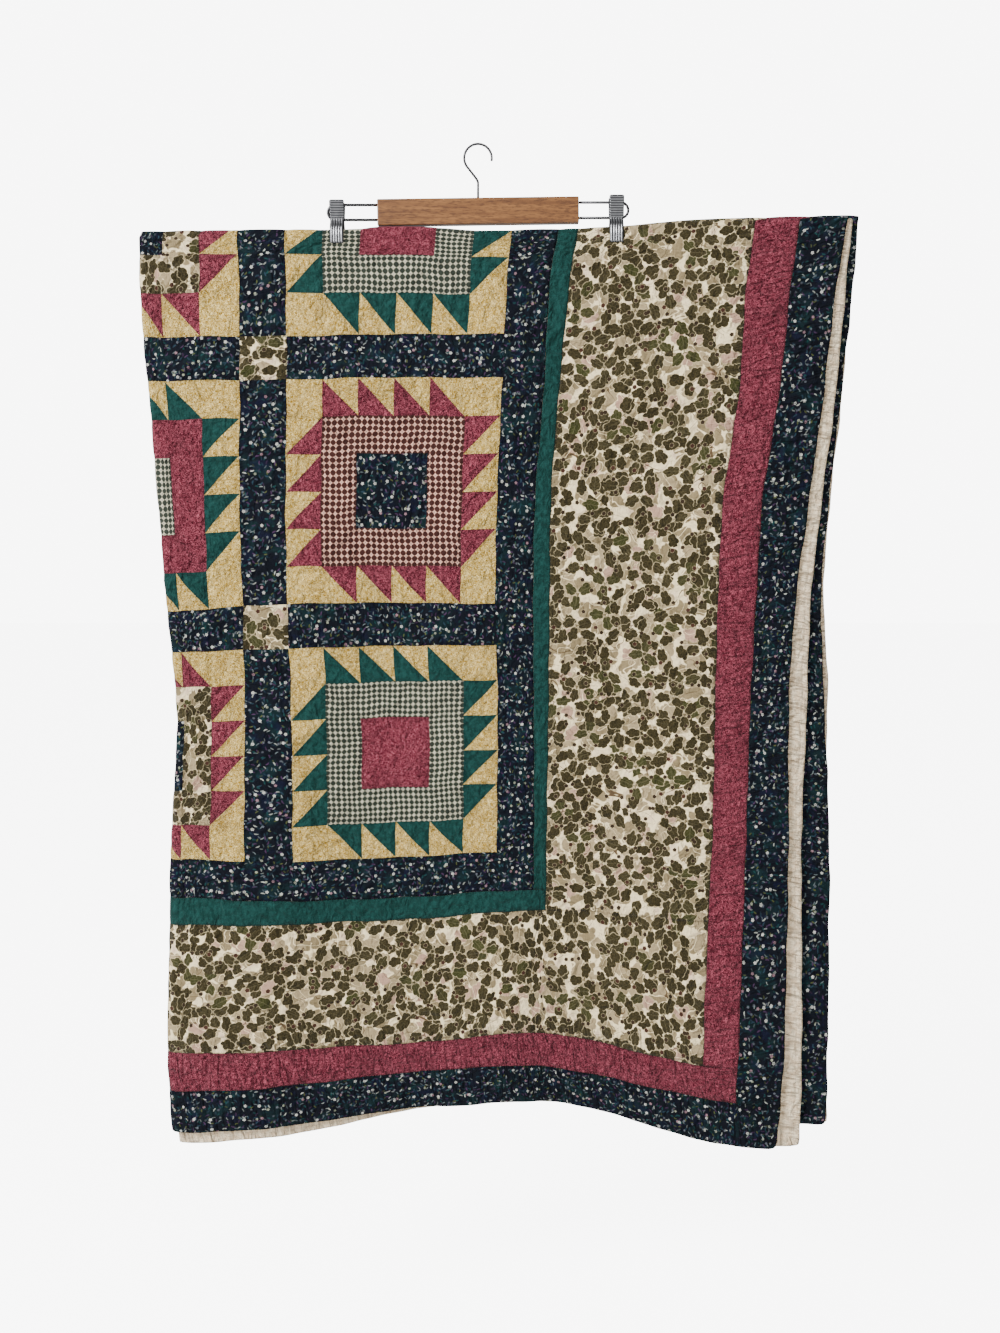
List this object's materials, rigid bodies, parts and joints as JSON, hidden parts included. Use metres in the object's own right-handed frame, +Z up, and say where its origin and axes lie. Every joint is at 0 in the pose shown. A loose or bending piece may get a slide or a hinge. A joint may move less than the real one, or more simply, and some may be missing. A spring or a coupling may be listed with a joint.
{
  "type": "patchwork quilt on a clip hanger",
  "caption": "Bordered patchwork quilt folded in four with layers fanned at the free edge, gripped along its top fold by the sprung clips of a short wooden hanger with a wire hook",
  "frame": {"origin": "inside top of the hanger's hook, where a rod touches it", "axes": "Z up, X to the right along the bar, Y away from the side that shows the quilt top"},
  "size_m": [0.9704, 0.0634, 1.3892],
  "materials": {
    "cream_cotton": "plain cream quilting cotton",
    "pieced_cotton": "pieced printed cottons, quilted",
    "green_cotton": "dark green cotton",
    "leaf_print_cotton": "cotton with a small olive leaf print",
    "rose_cotton": "rose cotton with a fine mottle",
    "navy_cotton": "navy cotton with small scattered flowers",
    "bar_wood": "varnished straight-grained wood",
    "wire_metal": "plated steel wire",
    "clip_metal": "plated pressed steel"
  },
  "bodies": {
    "root": {"backing": "cream_cotton", "centre_panel": "pieced_cotton", "green_border_left": "green_cotton", "green_border_right": "green_cotton", "green_border_upper": "green_cotton", "green_border_lower": "green_cotton", "leaf_border_left": "leaf_print_cotton", "leaf_border_right": "leaf_print_cotton", "leaf_border_upper": "leaf_print_cotton", "leaf_border_lower": "leaf_print_cotton", "rose_border_left": "rose_cotton", "rose_border_right": "rose_cotton", "rose_border_upper": "rose_cotton", "rose_border_lower": "rose_cotton", "navy_border_left": "navy_cotton", "navy_border_right": "navy_cotton", "navy_border_upper": "navy_cotton", "navy_border_lower": "navy_cotton", "bar": "bar_wood", "hook": "wire_metal", "wire_left": "wire_metal", "wire_right": "wire_metal", "clip_left_front": "clip_metal", "clip_left_back": "clip_metal", "clip_right_front": "clip_metal", "clip_right_back": "clip_metal", "spring_left": "wire_metal", "spring_right": "wire_metal"}
  },
  "joints": []
}
